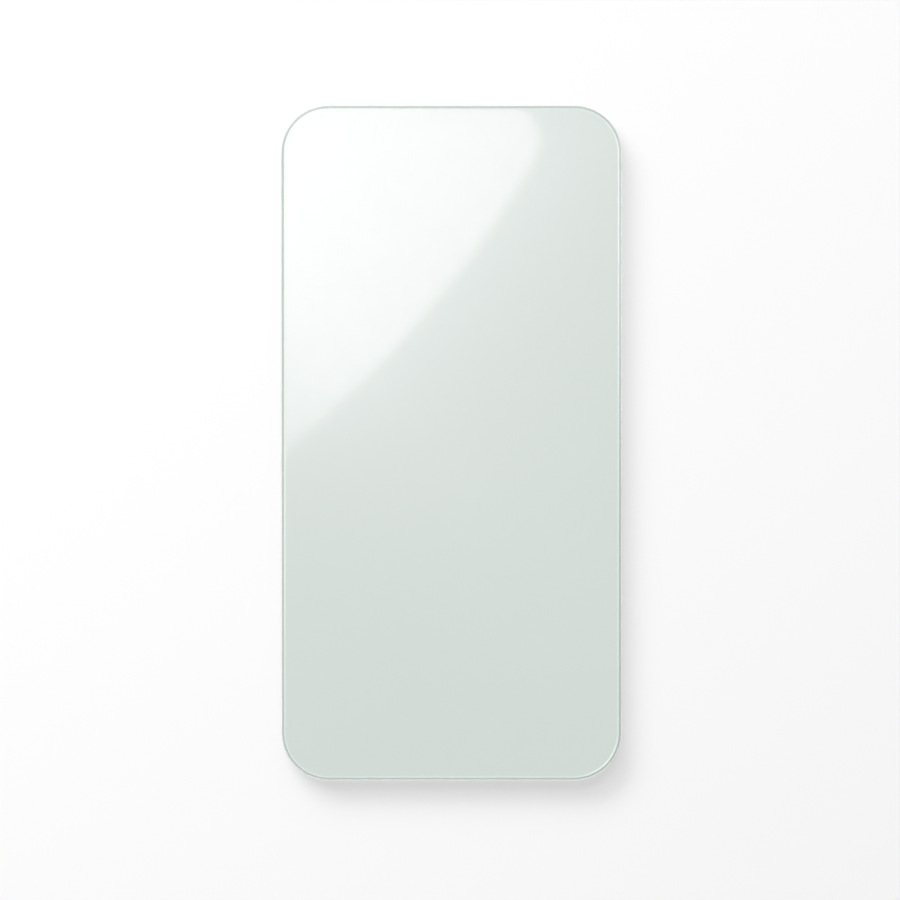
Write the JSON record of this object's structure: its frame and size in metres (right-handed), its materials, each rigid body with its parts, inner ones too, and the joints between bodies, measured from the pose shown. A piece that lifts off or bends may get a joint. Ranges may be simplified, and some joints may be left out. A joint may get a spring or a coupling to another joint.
{
  "type": "phone screen protector",
  "caption": "Thin flat glass plate with rounded corners and a softly rounded upper edge, laid over a phone's display to keep it from scratches and knocks.",
  "frame": {"origin": "middle of the underside, the face that lies on the display", "axes": "+X across the plate, +Y along it, +Z out of the face that is touched"},
  "size_m": [0.0716, 0.142, 0.0003],
  "materials": {
    "glass": "polished faces, finely ground edge"
  },
  "bodies": {
    "root": {"glass_plate": "glass"}
  },
  "joints": []
}
